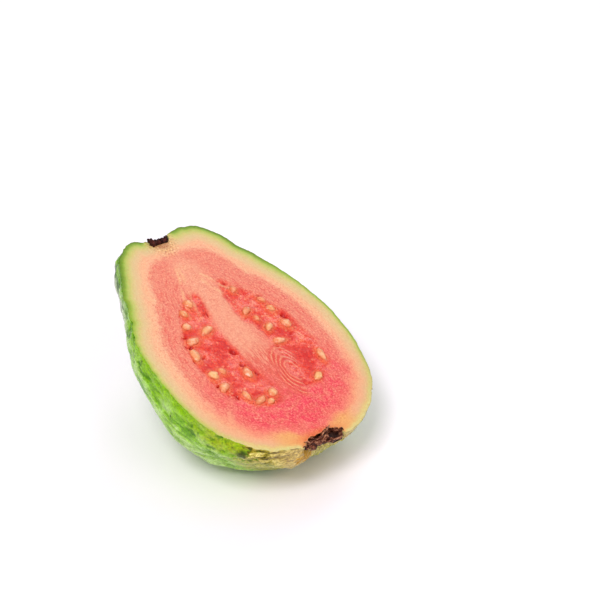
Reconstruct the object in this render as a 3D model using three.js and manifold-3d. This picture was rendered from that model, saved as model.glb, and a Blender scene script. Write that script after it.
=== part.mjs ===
// A lemon guava cut in half lengthwise. It lies on a small flat spot with its cut face up.
// Millimetres. In the fruit's own frame +X runs along the core from the stem end to the calyx
// end, +Y goes across the cut face and +Z stands out of it, with the cut face at z = 0.
// The outer group lays the fruit down: +Z up, resting on z = 0, centred over the origin.
import * as THREE from "three";
import { ParametricGeometry } from "three/addons/geometries/ParametricGeometry.js";
import { mergeVertices } from "three/addons/utils/BufferGeometryUtils.js";
import Module from "manifold-3d";

const wasm = await Module();
wasm.setup();

// ---- Driving dimensions ----

// How the half lies: the calyx end dips, and the half leans a little towards its near side.
const PITCH = THREE.MathUtils.degToRad(15.5);
const ROLL = THREE.MathUtils.degToRad(-9.7);
const REST_SPOT_DEPTH = 3.4; // how far the skin is flattened where the half rests

// Outlines of the cut face either side of the core, as [along the core, distance from the core].
// They start in the stem dimple, pass the shoulder and the belly, and end in the calyx crater.
const FAR_SIDE = [
  [1.2, 0], [1.5, 2.4], [0.9, 3.9], [-0.8, 4.3], [-2, 7], [-2.6, 10], [-2.1, 13],
  [-0.6, 16.3], [4, 20.4], [10, 23.2], [20, 28], [30, 32.4], [40, 34.8], [50, 35.2],
  [60, 34.2], [70, 31], [79, 24.4], [85, 16], [87.4, 9.6], [87.3, 8.2], [85.4, 7.6],
  [84.4, 6], [84.7, 0],
];
const NEAR_SIDE = [
  [1.2, 0], [1.6, 2.6], [1, 3.9], [-0.4, 4.3], [-1.3, 6.2], [-1.8, 9], [-1.2, 11.6],
  [0.6, 14.8], [4.6, 18.5], [10, 22], [20, 27.1], [30, 31.7], [40, 34.4], [51, 35.1],
  [61, 34.3], [71, 31.6], [79.6, 26], [84.6, 18.6], [87.2, 9.8], [87.3, 8.2], [86.2, 7],
  [85.2, 5.4], [84.7, 0],
];

// Depth of the half below the cut face as a share of its half width, at points along the core.
// It is fullest at the belly and falls off at the calyx end, where the knife left the core.
const DEPTH_STATIONS = [-3, 20, 45, 62, 74, 82, 89];
const DEPTH_SHARES = [0.77, 0.8, 0.88, 0.9, 0.85, 0.69, 0.48];

// Low ridges that run along the skin and fade out towards both ends.
const RIDGE_COUNT = 11;
const RIDGE_HEIGHT = 0.35;
const RIDGE_FULL_RADIUS = 28;

// Dried stalk in the dimple, and dried sepals in the crater: half outlines that start and end on
// the core, the stem side first.
const STEM_SCAR = [[-1.6, 0], [-1.9, 1.8], [-1.2, 3.3], [0.4, 3.5], [1, 2.2], [0.8, 0]];
const CALYX = [[85.1, 0], [85.5, 4.2], [86.4, 6.2], [88, 6.9], [88.6, 5.4], [87.5, 2.6], [87.8, 0]];
const SEPALS_START = 86.8;
const SEPALS_END = 88;
const SEPALS_FULL_RADIUS = 5;
const SEPAL_COUNT = 5;
const SEPAL_HEIGHT = 0.5;

// Seeds in the cut face: [along the core, across, length, width, turn in degrees].
const SEEDS = [
  [25.9, -7.5, 3.2, 2.6, 10],
  [28.8, -11, 3, 2.2, 20],
  [33.6, -13.8, 2.8, 2.4, -75],
  [37.1, -8.3, 4.4, 2.4, -70],
  [39.4, -15.3, 4.4, 2.4, 90],
  [44.5, -18, 4.8, 2.6, -18],
  [53.3, -17.4, 3.2, 2.8, 10],
  [58.7, -17.2, 3.8, 2.6, -55],
  [52.8, -13.8, 2.6, 2.2, 30],
  [56.1, -6.4, 3.8, 2.6, -5],
  [65.4, -3.9, 3.2, 2.6, -60],
  [68.3, -6.4, 2.6, 2, -70],
  [66.8, -9.4, 4.2, 2, -70],
  [63.8, -12.3, 3.6, 2, 5],
  [43.3, 17.8, 3.4, 2.8, 10],
  [58.1, 20.6, 4.8, 2, -4],
  [65, 14, 3.6, 2.3, -55],
  [48.5, 11.3, 4, 2, 78],
  [42.7, 11.4, 3.4, 2.3, -50],
  [34.8, 8.6, 3.6, 2.1, -65],
  [32.3, 16.3, 2.8, 1.9, 30],
  [36.3, 17.1, 3, 2.4, 20],
  [25.5, 10.1, 2.6, 2.1, -30],
  [38.3, 10.1, 2.2, 1.8, 0],
];
const SEED_THICKNESS = 2.2;
const SEED_SINK = 0.35; // how far a seed's middle lies under the cut face
const SEED_TAPER = 0.25;
const SEED_GAP = 0.3;

// Sockets that seeds fell out of: [along the core, across, length, width].
const EMPTY_SOCKETS = [
  [40.3, 19.2, 2.4, 2],
  [47.3, -5.5, 2.8, 2.4],
  [52.8, -6, 2, 2],
  [57.1, -3.6, 1.8, 1.4],
];
const SOCKET_DEPTH = 1;

// Fineness of the surfaces.
const SLICES_ALONG = 66;
const SEGMENTS_ROUND = 44;
const SMALL_SLICES = 14;
const SMALL_SEGMENTS = 30;
const SEED_SEGMENTS = 10;
const SEED_RINGS = 7;

// Large enough to clear the whole fruit when it trims.
const TRIM_SIZE = 300;

// ---- Materials ----

function material(color, roughness) {
  return new THREE.MeshStandardMaterial({ color, roughness, metalness: 0 });
}

const FLESH_COLOR = 0xf2806c;
const SCAR_COLOR = 0x2e1a14;
const CALYX_COLOR = 0x3a2419;
const SEED_COLOR = 0xf6cf8e;
const WET = 0.35;
const SMOOTH = 0.4;
const DRY = 0.9;

// ---- From geometry to solid and back ----

// Welds a geometry's shared corners and drops the triangles that collapse at its poles.
function toSolid(geometry) {
  geometry.deleteAttribute("normal");
  geometry.deleteAttribute("uv");
  const welded = mergeVertices(geometry);
  const corners = welded.index.array;
  const kept = [];
  for (let i = 0; i < corners.length; i += 3) {
    const [a, b, c] = corners.slice(i, i + 3);
    if (a !== b && b !== c && c !== a) {
      kept.push(a, b, c);
    }
  }
  const vertProperties = welded.attributes.position.array;
  const triVerts = new Uint32Array(kept);
  return new wasm.Manifold(new wasm.Mesh({ numProp: 3, vertProperties, triVerts }));
}

function toGeometry(solid) {
  const { vertProperties, triVerts } = solid.getMesh();
  const geometry = new THREE.BufferGeometry();
  geometry.setAttribute("position", new THREE.BufferAttribute(vertProperties, 3));
  geometry.setIndex(new THREE.BufferAttribute(triVerts, 1));
  geometry.computeVertexNormals();
  return geometry;
}

// ---- Shapes ----

function outline(points) {
  return new THREE.SplineCurve(points.map(([x, y]) => new THREE.Vector2(x, y)));
}

const depthShares = new THREE.CubicInterpolant(DEPTH_STATIONS, DEPTH_SHARES, 1);

// A closed body round the core: each slice is an oval that passes through both outlines.
// `relief` moves a point [along the core, distance from it] by its angle, for ridges and sepals.
function turnedBody(farOutline, nearOutline, slices, segments, relief) {
  const far = outline(farOutline);
  const near = outline(nearOutline);
  const farPoint = new THREE.Vector2();
  const nearPoint = new THREE.Vector2();
  const surface = (u, v, target) => {
    const angle = 2 * Math.PI * u;
    far.getPoint(v, farPoint);
    near.getPoint(v, nearPoint);
    const share = (1 + Math.cos(angle)) / 2;
    const middle = (farPoint.y - nearPoint.y) / 2;
    const radius = (farPoint.y + nearPoint.y) / 2;
    const [x, grown] = relief(THREE.MathUtils.lerp(nearPoint.x, farPoint.x, share), radius, angle);
    const [depthShare] = depthShares.evaluate(x);
    target.set(x, middle + grown * Math.cos(angle), grown * Math.sin(angle) * depthShare);
  };
  return toSolid(new ParametricGeometry(surface, segments, slices));
}

// Everything above the cut face.
function aboveCut() {
  const box = new THREE.BoxGeometry(TRIM_SIZE, TRIM_SIZE, TRIM_SIZE);
  box.translate(0, 0, TRIM_SIZE / 2);
  return toSolid(box);
}

function skinRidges(x, radius, angle) {
  const fade = Math.min(radius / RIDGE_FULL_RADIUS, 1);
  return [x, radius + RIDGE_HEIGHT * fade * Math.cos(RIDGE_COUNT * angle)];
}

function sepals(x, radius, angle) {
  const towardsTips = THREE.MathUtils.smoothstep(x, SEPALS_START, SEPALS_END);
  const rise = towardsTips * Math.min(radius / SEPALS_FULL_RADIUS, 1);
  return [x + rise * SEPAL_HEIGHT * Math.cos(SEPAL_COUNT * angle), radius];
}

function plain(x, radius) {
  return [x, radius];
}

// A flattened egg lying in the cut face, grown by `gap` for the pocket round it.
function seedShape([x, y, length, width, turn], thickness, sink, gap) {
  const geometry = new THREE.SphereGeometry(0.5, SEED_SEGMENTS, SEED_RINGS);
  geometry.rotateX(Math.PI / 2);
  const position = geometry.attributes.position;
  for (let i = 0; i < position.count; i += 1) {
    const taper = 1 - SEED_TAPER * position.getX(i);
    position.setY(i, position.getY(i) * taper);
  }
  geometry.scale(length + 2 * gap, width + 2 * gap, thickness + 2 * gap);
  geometry.rotateZ(THREE.MathUtils.degToRad(turn));
  geometry.translate(x, y, -sink);
  return geometry;
}

// ---- How the half lies ----

const layDown = new THREE.Euler(ROLL, PITCH, 0, "YXZ");
const layDownMatrix = new THREE.Matrix4().makeRotationFromEuler(layDown);

function lowestWhenLaid(solid) {
  const laid = toGeometry(solid).applyMatrix4(layDownMatrix);
  laid.computeBoundingBox();
  return laid.boundingBox.min.z;
}

// Everything under the floor, given the floor's height once the fruit is laid down.
function belowFloor(floorHeight) {
  const box = new THREE.BoxGeometry(TRIM_SIZE, TRIM_SIZE, TRIM_SIZE);
  box.translate(0, 0, floorHeight - TRIM_SIZE / 2);
  box.applyMatrix4(layDownMatrix.clone().invert());
  return toSolid(box);
}

// ---- Sub-parts ----

const cutAway = aboveCut();
const wholeFruit = turnedBody(FAR_SIDE, NEAR_SIDE, SLICES_ALONG, SEGMENTS_ROUND, skinRidges);
const halfFruit = wholeFruit.subtract(cutAway);
const floorHeight = lowestWhenLaid(halfFruit) + REST_SPOT_DEPTH;

function guavaHalf() {
  let solid = halfFruit.subtract(belowFloor(floorHeight));
  for (const seed of SEEDS) {
    solid = solid.subtract(toSolid(seedShape(seed, SEED_THICKNESS, SEED_SINK, SEED_GAP)));
  }
  for (const socket of EMPTY_SOCKETS) {
    solid = solid.subtract(toSolid(seedShape([...socket, 0], 2 * SOCKET_DEPTH, 0, 0)));
  }
  return new THREE.Mesh(toGeometry(solid), material(FLESH_COLOR, WET));
}

function stemScar() {
  const whole = turnedBody(STEM_SCAR, STEM_SCAR, SMALL_SLICES, SMALL_SEGMENTS, plain);
  return new THREE.Mesh(toGeometry(whole.subtract(cutAway)), material(SCAR_COLOR, DRY));
}

function calyx() {
  const whole = turnedBody(CALYX, CALYX, SMALL_SLICES, SMALL_SEGMENTS, sepals);
  return new THREE.Mesh(toGeometry(whole.subtract(cutAway)), material(CALYX_COLOR, DRY));
}

// ---- Assembly ----

const fruit = new THREE.Group();

function addPart(name, mesh) {
  mesh.name = name;
  fruit.add(mesh);
}

addPart("guava_half", guavaHalf());
addPart("stem_scar", stemScar());
addPart("calyx", calyx());
SEEDS.forEach((seed, i) => {
  const number = String(i + 1).padStart(2, "0");
  const shape = seedShape(seed, SEED_THICKNESS, SEED_SINK, 0);
  addPart(`seed_${number}`, new THREE.Mesh(shape, material(SEED_COLOR, SMOOTH)));
});

fruit.setRotationFromEuler(layDown);
fruit.position.z = -floorHeight;

const group = new THREE.Group();
group.add(fruit);
group.updateMatrixWorld(true);
const centre = new THREE.Box3().setFromObject(group, true).getCenter(new THREE.Vector3());
fruit.position.x -= centre.x;
fruit.position.y -= centre.y;

export default group;
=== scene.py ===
"""Half a lemon guava, cut lengthwise, lying on a small flat spot with its cut face up.

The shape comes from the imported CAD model. Lengths are millimetres in the fruit's own axes until a
mesh is made: +X runs along the core from the stem end to the calyx end, +Y goes across the cut
face and +Z stands out of it, with the cut face at z = 0.
"""

import math
from functools import reduce

import bpy
import numpy as np
from mathutils import Matrix, Vector, noise
from mathutils.bvhtree import BVHTree
from mathutils.kdtree import KDTree


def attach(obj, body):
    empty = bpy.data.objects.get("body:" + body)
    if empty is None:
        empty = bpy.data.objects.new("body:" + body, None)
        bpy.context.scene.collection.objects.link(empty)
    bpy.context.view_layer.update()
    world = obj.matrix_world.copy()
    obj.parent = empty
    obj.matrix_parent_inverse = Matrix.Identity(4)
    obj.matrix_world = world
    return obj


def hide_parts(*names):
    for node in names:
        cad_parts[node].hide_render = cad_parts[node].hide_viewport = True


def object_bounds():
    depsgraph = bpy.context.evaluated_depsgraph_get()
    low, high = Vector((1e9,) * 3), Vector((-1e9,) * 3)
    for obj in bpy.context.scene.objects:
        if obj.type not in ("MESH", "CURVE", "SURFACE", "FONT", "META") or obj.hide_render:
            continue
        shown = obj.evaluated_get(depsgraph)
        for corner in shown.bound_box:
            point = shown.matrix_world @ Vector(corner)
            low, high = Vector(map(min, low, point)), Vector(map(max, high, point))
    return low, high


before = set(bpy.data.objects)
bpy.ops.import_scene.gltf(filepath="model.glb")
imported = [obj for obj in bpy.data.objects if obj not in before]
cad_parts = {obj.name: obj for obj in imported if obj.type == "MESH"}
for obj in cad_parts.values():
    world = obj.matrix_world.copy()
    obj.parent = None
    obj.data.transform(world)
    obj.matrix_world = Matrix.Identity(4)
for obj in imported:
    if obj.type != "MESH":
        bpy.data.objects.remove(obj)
cad_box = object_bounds()

MM = 0.001

# ---- The fruit's own axes, read from the CAD model ----

STEM_TIP = -1.9  # where the stem scar's outermost point lies along the core


def read(items, name, width, kind=float):
    """One property of every item of a mesh, a row for each."""
    flat = np.empty(len(items) * width, kind)
    items.foreach_get(name, flat)
    return flat.reshape(-1, width)


def node_points(name):
    return read(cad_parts[name].data.vertices, "co", 3) / MM


def node_triangles(name):
    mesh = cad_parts[name].data
    mesh.calc_loop_triangles()
    return read(mesh.loop_triangles, "vertices", 3, int)


def unit(vectors):
    return vectors / np.linalg.norm(vectors, axis=-1, keepdims=True)


def cut_face_normal():
    """The direction that the largest triangle facing up faces: the cut face holds it."""
    a, b, c = (node_points("guava_half")[node_triangles("guava_half")[:, i]] for i in range(3))
    normals = np.cross(b - a, c - a)
    upward = normals[normals[:, 2] > 0]
    return unit(upward[np.argmax(np.linalg.norm(upward, axis=1))])


def fruit_axes():
    """Rows are the fruit's axes, and the second value is its origin, both in the CAD's frame."""
    out = cut_face_normal()
    stem, calyx = node_points("stem_scar"), node_points("calyx")
    core = calyx.mean(0) - stem.mean(0)
    core = unit(core - out * (core @ out))
    axes = np.array([core, np.cross(out, core), out])
    in_axes = stem @ axes.T
    corner = np.array([in_axes[:, 0].min() - STEM_TIP, in_axes[:, 1].mean(), in_axes[:, 2].max()])
    return axes, corner @ axes


AXES, ORIGIN = fruit_axes()


def to_fruit(points):
    return (points - ORIGIN) @ AXES.T


def to_world(points):
    return points @ AXES + ORIGIN


# ---- Small tools for numbers ----


def smoothstep(value, low, high):
    t = np.clip((value - low) / (high - low), 0, 1)
    return t * t * (3 - 2 * t)


def fade(value, low, high):
    return 1 - smoothstep(value, low, high)


def lerp(a, b, share):
    return a + (b - a) * share


def noise_places(points, size, shift):
    """Where to read a noise for points in space or in the cut face's plane."""
    if points.shape[1] == 2:
        points = np.column_stack([points, np.zeros(len(points))])
    return [Vector(p) for p in points / size + shift]


def fractal(points, size, octaves=3, shift=0.0):
    """Smooth noise, about -1 to 1, whose largest lumps are about `size` across."""
    return np.array([noise.fractal(p, 1.0, 2.0, octaves) for p in noise_places(points, size, shift)])


def cells(points, size, shift=0.0):
    """Distance to the nearest of points scattered about `size` apart, in sizes."""
    return np.array([noise.voronoi(p)[0][0] for p in noise_places(points, size, shift)])


def band(value, start, full, fall, end):
    """Rises from 0 at `start` to 1 at `full`, and falls again from `fall` to 0 at `end`."""
    return smoothstep(value, start, full) * fade(value, fall, end)


def bell(points, place, radii):
    """1 at a place, fading smoothly to 0 about two radii away."""
    return np.exp(-np.sum(((points - place) / radii) ** 2, axis=1))


def crumpled(points, size, amount, shift):
    """Points pushed about by smooth noise, for a crumpled look."""
    push = [fractal(points, size, 2, shift + 5.3 * k) for k in range(3)]
    return points + amount * np.column_stack(push)


def closed_curve(corners, steps=12):
    """A smooth closed outline through its corners."""
    corners = np.array(corners, float)
    before, after, beyond = (np.roll(corners, k, axis=0) for k in (1, -1, -2))
    t = np.arange(steps)[None, :, None] / steps
    p0, p1, p2, p3 = (p[:, None, :] for p in (before, corners, after, beyond))
    curve = p1 + t * (p2 - p0) / 2
    curve = curve + t**2 * (2 * p0 - 5 * p1 + 4 * p2 - p3) / 2
    curve = curve + t**3 * (3 * p1 - 3 * p2 + p3 - p0) / 2
    return curve.reshape(-1, 2)


def distance_to(points, places):
    """How far each point is from the nearest of the places, in the plane of the cut face."""
    tree = KDTree(len(places))
    for i, (x, y) in enumerate(places):
        tree.insert((x, y, 0), i)
    tree.balance()
    return np.array([tree.find((x, y, 0))[2] for x, y in points])


def depth_inside(points, outline):
    """Distance from a closed outline, positive inside it."""
    x, y = points.T
    inside = np.zeros(len(points), bool)
    for (x1, y1), (x2, y2) in zip(outline, np.roll(outline, -1, axis=0)):
        crosses = (y1 > y) != (y2 > y)
        run = x2 - x1
        rise = y2 - y1 if y2 != y1 else 1.0
        inside ^= crosses & (x < x1 + run * (y - y1) / rise)
    return np.where(inside, 1, -1) * distance_to(points, outline)


# ---- The half's skin and rim, measured off the CAD half ----

RINGS = 110  # rings of faces from the middle of each side out to the rim
RIM_SAMPLES = 2880
RIM_DIP = 0.002  # a ray along the rim dips this much, to meet the skin and not the cut face
RAY_START = 200.0
SMOOTHING_PASSES = 12

half_surface = BVHTree.FromPolygons(
    [tuple(p) for p in to_fruit(node_points("guava_half"))],
    [tuple(int(i) for i in t) for t in node_triangles("guava_half")],
)
MIDDLE = np.array([to_fruit(node_points("calyx"))[:, 0].mean() / 2, 0, 0])


def directions(angle, dip):
    """Unit vectors that leave the middle at an angle in the cut face and dip under it."""
    return np.stack([np.cos(dip) * np.cos(angle), np.cos(dip) * np.sin(angle), -np.sin(dip)], -1)


def skin_distance(rays):
    """How far the skin is from the middle along each ray."""
    found = np.empty(len(rays))
    for i, ray in enumerate(rays):
        start = Vector(MIDDLE + ray * RAY_START)
        found[i] = RAY_START - half_surface.ray_cast(start, Vector(-ray))[3]
    return found


def ring_shares():
    """For each point of a square grid, how far out its square ring is and how far round that it is."""
    steps = np.arange(-RINGS, RINGS + 1)
    a, b = np.meshgrid(steps, steps, indexing="ij")
    ring = np.maximum(abs(a), abs(b))
    side = np.maximum(ring, 1)
    on_side = [a == ring, b == ring, a == -ring]
    eighths = np.select(on_side, [b / side, 2 - a / side, 4 - b / side], 6 + a / side)
    return ring / RINGS, (eighths % 8) / 8


def smoothed(grid, passes):
    """A square grid of numbers, each averaged with its neighbours again and again."""
    for _ in range(passes):
        for axis in (0, 1):
            padded = np.pad(grid, [(1, 1) if k == axis else (0, 0) for k in (0, 1)], mode="reflect")
            before, after = (np.take(padded, range(k, k + len(grid)), axis) for k in (0, 2))
            grid = (before + 2 * grid + after) / 4
    return grid


def measured_skin():
    """The skin's points as a square grid. Its border is the rim, evenly spaced."""
    angles = np.linspace(0, 2 * math.pi, RIM_SAMPLES + 1)
    flat_rays = directions(angles, np.full_like(angles, RIM_DIP))
    rim = flat_rays * skin_distance(flat_rays)[:, None]
    lengths = np.concatenate([[0], np.cumsum(np.linalg.norm(np.diff(rim, axis=0), axis=1))])
    out, round_ring = ring_shares()
    angle = np.interp(round_ring * lengths[-1], lengths, angles)
    rays = directions(angle, np.maximum((1 - out) * math.pi / 2, RIM_DIP))
    distance = skin_distance(rays.reshape(-1, 3)).reshape(out.shape)
    return MIDDLE + rays * smoothed(distance, SMOOTHING_PASSES)[..., None]


def grid_normals(grid):
    """The way each point of the skin's grid faces, away from the middle."""
    normals = unit(np.cross(np.gradient(grid, axis=0), np.gradient(grid, axis=1)))
    outward = np.sum(normals * (grid - MIDDLE), axis=-1, keepdims=True)
    return np.where(outward < 0, -normals, normals)


# ---- Relief of the skin ----

FLAT_SPOT_EDGE = 2.0  # the skin's relief fades out this far above the floor
CALYX_FOLD = (86.0, -5.5, -7.5)  # a fold of skin under the calyx
CALYX_FOLD_RADII = (5, 7, 4)
CALYX_FOLD_HEIGHT = 0.8
ORANGE_STAIN = (87.6, -6.0, -5.0)  # a stain on that fold
# Where the skin is drawn in, or swells out if the depth is negative: place, radii, depth.
DRAWN_IN = [
    ((87.0, 3.8, -5.5), (6, 6.5, 5.5), 1.9),  # beside the calyx
    ((3.5, -17.0, -4.0), (6, 6, 5.5), -1.2),  # the near shoulder
    ((20.5, -27.0, -5.5), (6, 5, 6), 1.1),  # behind that shoulder
    ((5.5, -19.5, 0.0), (3, 4, 2.5), 0.45),  # the rim on that shoulder
    ((24.0, -29.0, 0.0), (4, 5, 3), 0.5),  # the rim behind it
    ((74.0, -21.0, -16.0), (10, 9, 7), 1.9),  # under the belly's wide end
    ((86.5, -9.0, -8.5), (4, 4.5, 3.5), -1.3),  # beside the fold
    ((60.0, -29.0, -15.5), (7, 7, 6), -1.3),  # under the belly
]
# Dark spots on the skin: place and radius.
DARK_SPOTS = [
    ((80.2, -24.9, -4.2), 2.3),
    ((39.4, -34.1, -1.6), 0.5),
    ((57.5, -34.0, -7.0), 0.6),
]


def drawn_in(points):
    """How far the skin is drawn in at each point."""
    depth = np.zeros(len(points))
    for place, radii, deepest in DRAWN_IN:
        depth += deepest * bell(points, place, radii)
    return depth


def skin_relief(points):
    """Height of the skin's relief, how deep in a dent each point is, and how high on a lump."""
    x = points[:, 0]
    along = points * [0.5, 1, 1]
    swellings = 0.4 * fractal(points, 15, 2, 3.1)
    lumps = fractal(along, 3.6, 3, 7.7)
    dents = smoothstep(fractal(points * [0.42, 1, 1], 1.6, 4, 1.3), 0.05, 0.5)
    dents = dents * lerp(0.25, 1, smoothstep(fractal(points, 9, 2, 9.4), -0.25, 0.3))
    bumps = lerp(0.75, 0.5, smoothstep(x, 12, 45)) * lumps + 0.15 * fractal(points, 1.4, 2, 5.2)
    wrinkles = 0.32 * fractal(points, 2.2, 3, 6.3) * smoothstep(x, 78, 84)
    fold = CALYX_FOLD_HEIGHT * bell(points, CALYX_FOLD, CALYX_FOLD_RADII)
    rough = lerp(1, 0.55, smoothstep(-points[:, 2], 8, 18))
    rough = rough * lerp(1, 0.5, smoothstep(points[:, 1], 2, 9) * smoothstep(points[:, 2], -6, -1.5))
    height = swellings + rough * (bumps - 0.26 * dents) + wrinkles + fold - drawn_in(points)
    return height, dents, smoothstep(lumps, -0.6, 0.6)


def shaped_skin():
    grid = measured_skin()
    points = grid.reshape(-1, 3)
    height, dents, rise = skin_relief(points)
    above_floor = to_world(points)[:, 2]
    height = height * smoothstep(above_floor, 0.0, FLAT_SPOT_EDGE)
    moved = points + grid_normals(grid).reshape(-1, 3) * height[:, None]
    laid = to_world(moved)
    laid[:, 2] = np.maximum(laid[:, 2], 0)
    return to_fruit(laid).reshape(grid.shape), dents, rise


# ---- Seeds, read from the CAD model ----

COATED_SEEDS = {2, 9, 12, 14, 21, 22, 23, 24}  # numbers of the seeds that pulp still coats
SEED_SWELL = 1.2  # a seed with the pulp that clings to it, over the bare seed
STRAW_SHARES = (0.0, 0.25, 0.7, 0.1, 0.35)  # how straw-coloured seeds are, taken in turn


class Seed:
    """A seed's place in the cut face: its middle, its long way and its half sizes."""

    def __init__(self, name):
        points = to_fruit(node_points(name))
        self.name = name
        self.number = int(name.split("_")[1])
        self.middle = (points.min(0) + points.max(0)) / 2
        spread = points[:, :2] - points[:, :2].mean(0)
        way = np.linalg.svd(spread, full_matrices=False)[2][0]
        along = spread @ way
        blunt = along @ np.abs(spread @ [-way[1], way[0]])
        self.way = -way if blunt > 0 else way
        self.side = np.array([-self.way[1], self.way[0]])
        self.half_length = np.ptp(along) / 2
        self.half_width = np.ptp(spread @ self.side) / 2
        self.half_height = np.ptp(points[:, 2]) / 2

    def nearness(self, points):
        """0 at the seed's middle and 1 at its outline, for points in the cut face."""
        away = points - self.middle[:2]
        return np.hypot(away @ self.way / self.half_length, away @ self.side / self.half_width)


seeds = [Seed(name) for name in sorted(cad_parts) if name.startswith("seed_")]

# ---- Layout of the cut face ----

# Outlines of the two seed chambers that the cut opened.
NEAR_CHAMBER = [
    (22.4, -4.2), (24, -1.8), (30, -2.6), (36, -4.2), (46, -3.8), (57, -2.6), (66, -1.6), (69.6, -3.4),
    (70, -8), (68.6, -12), (64.5, -16.2), (59, -19.4), (52, -20.2), (46, -20), (40, -18.8), (34.5, -16),
    (29.5, -13), (25.5, -9.6),
]
FAR_CHAMBER = [
    (20.8, 8), (26, 13.2), (30, 16.2), (35, 18.8), (40, 20.9), (46, 22), (53, 22.4), (60.6, 21.9),
    (64.6, 18), (67.4, 13.5), (67, 8.6), (61, 7.6), (52, 8.6), (46, 8.2), (41, 8), (36.6, 5), (28, 5.4),
]
# Clefts in the pulp beside seeds: middle, length, width, turn in degrees, depth.
CLEFTS = [
    (37.4, -16.2, 2.6, 1.1, 70, 1.1),
    (41.2, -17.2, 2.6, 1.2, -60, 1.1),
    (40.3, -18.5, 1.6, 0.8, 10, 0.8),
    (63, -15.2, 2.4, 0.9, -30, 1.0),
    (57.3, -18.3, 2.2, 0.8, -65, 1.1),
    (65.9, -6.2, 2.2, 0.7, 15, 0.8),
    (31.2, -3.8, 3.0, 0.8, -15, 0.8),
    (31.2, -5.0, 2.0, 0.5, -40, 0.5),
    (46, -16, 2.4, 0.7, -65, 0.7),
    (46.4, -19.7, 2.2, 0.7, -10, 0.7),
    (28.8, -12.7, 2.2, 0.6, -35, 0.5),
    (30.5, 16.6, 1.8, 0.8, 50, 0.8),
    (25.7, -9.8, 1.2, 0.8, 20, 0.6),
    (66, 8.5, 2.0, 0.7, 10, 0.6),
    (47.3, 17, 2.2, 0.6, -60, 0.5),
    (22.3, 9.2, 2.2, 1.0, -60, 0.6),
]
SWIRL_MIDDLE = (60.3, 8.2)
SWIRL_SHARE = 0.56  # the swirl's lines are ovals this much narrower across the core
SWIRL_PITCH = 1.9
SWIRL_REACH = (2.5, 4.5, 9.5, 12)  # its lines show from the first two radii to the last two
STEM_END = (1.2, 0.0)
CALYX_END = (84.7, 0.0)
DIMPLE_RADIUS = 6.5
CRATER_RADIUS = 9.5
EVENING_PASSES = 160
VEINS = [(0.2, 0.45), (1.4, 0.62), (-1.2, -0.28), (-2.2, -0.42)]  # where each starts, and its slope
VEIN_START = 12


def chamber_depth(points):
    """Distance from the seed chambers' wavering outlines, positive inside them."""
    depth = np.maximum(*(depth_inside(points, closed_curve(c)) for c in (NEAR_CHAMBER, FAR_CHAMBER)))
    return depth + 0.6 * fractal(points, 3.2, 3, 2.2)


def green_depth(points, rim):
    """Depth under the green skin, as it would be at the belly. The green goes deeper at the stem end.
    Away from the rim it is evened out, so that the flesh shows no creases along the middle."""
    from_core = np.abs(rim[:, 1])
    stem_side = rim[:, 0] < MIDDLE[0]
    green = rim[from_core > np.where(stem_side, DIMPLE_RADIUS, CRATER_RADIUS)]
    depth = distance_to(points, green)
    slow = np.minimum(depth * (0.14 + 0.1 * depth), depth)
    depth = lerp(slow, depth, smoothstep(points[:, 0], 18, 44))
    depth = depth * lerp(1, 1.2, smoothstep(points[:, 1], 8, 20) * smoothstep(depth, 3.5, 7))
    side = math.isqrt(len(points))
    even = smoothed(depth.reshape(side, side), EVENING_PASSES).ravel()
    return lerp(depth, even, smoothstep(depth, 3, 9))


def cleft_depth(points):
    deepest = np.zeros(len(points))
    for x, y, length, width, turn, depth in CLEFTS:
        way = np.array([math.cos(math.radians(turn)), math.sin(math.radians(turn))])
        away = points - [x, y]
        reach = np.hypot(away @ way / (length / 2), away @ [-way[1], way[0]] / (width / 2))
        deepest = np.maximum(deepest, depth * fade(reach, 0.2, 1.2))
    return deepest


def socket_depth(points):
    """Depth of the CAD half's empty seed sockets: its pockets that hold no seed."""
    found = np.zeros(len(points))
    for i, (x, y) in enumerate(points):
        hit = half_surface.ray_cast(Vector((x, y, 10)), Vector((0, 0, -1)))[0]
        if hit and hit.z < 0:
            found[i] = -hit.z
    for seed in seeds:
        found[seed.nearness(points) < 1.35] = 0
    return np.where(found < 2, found, 0)


def swirl(points):
    """Fine ridges that curve round the swirl's middle, and where they show."""
    along, across = (points - SWIRL_MIDDLE).T
    radius = np.hypot(along, across / SWIRL_SHARE) + 0.7 * fractal(points, 4.5, 3, 4.4)
    shown = band(radius, *SWIRL_REACH)
    shown = shown * fade(across + 0.35 * along, 0.5, 3.5)
    shown = shown * smoothstep(fractal(points, 3, 2, 7.3), -0.7, 0.1)
    return smoothstep(np.cos(2 * math.pi * radius / SWIRL_PITCH), 0.1, 1.0), shown


def veins(points):
    """Pale strands that run from the stem to the near ends of the chambers, 0 to 1."""
    x, y = points.T
    waver = 0.9 * fractal(points, 7, 2, 8.1)
    shown = band(x, 9, 15, 24, 34)
    strands = np.zeros(len(points))
    for start, slope in VEINS:
        centre = start + slope * (x - VEIN_START) + waver
        strands = np.maximum(strands, fade(abs(y - centre), 0.0, 0.9))
    return strands * shown * smoothstep(fractal(points, 4, 2, 2.6), -0.5, 0.3)


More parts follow.
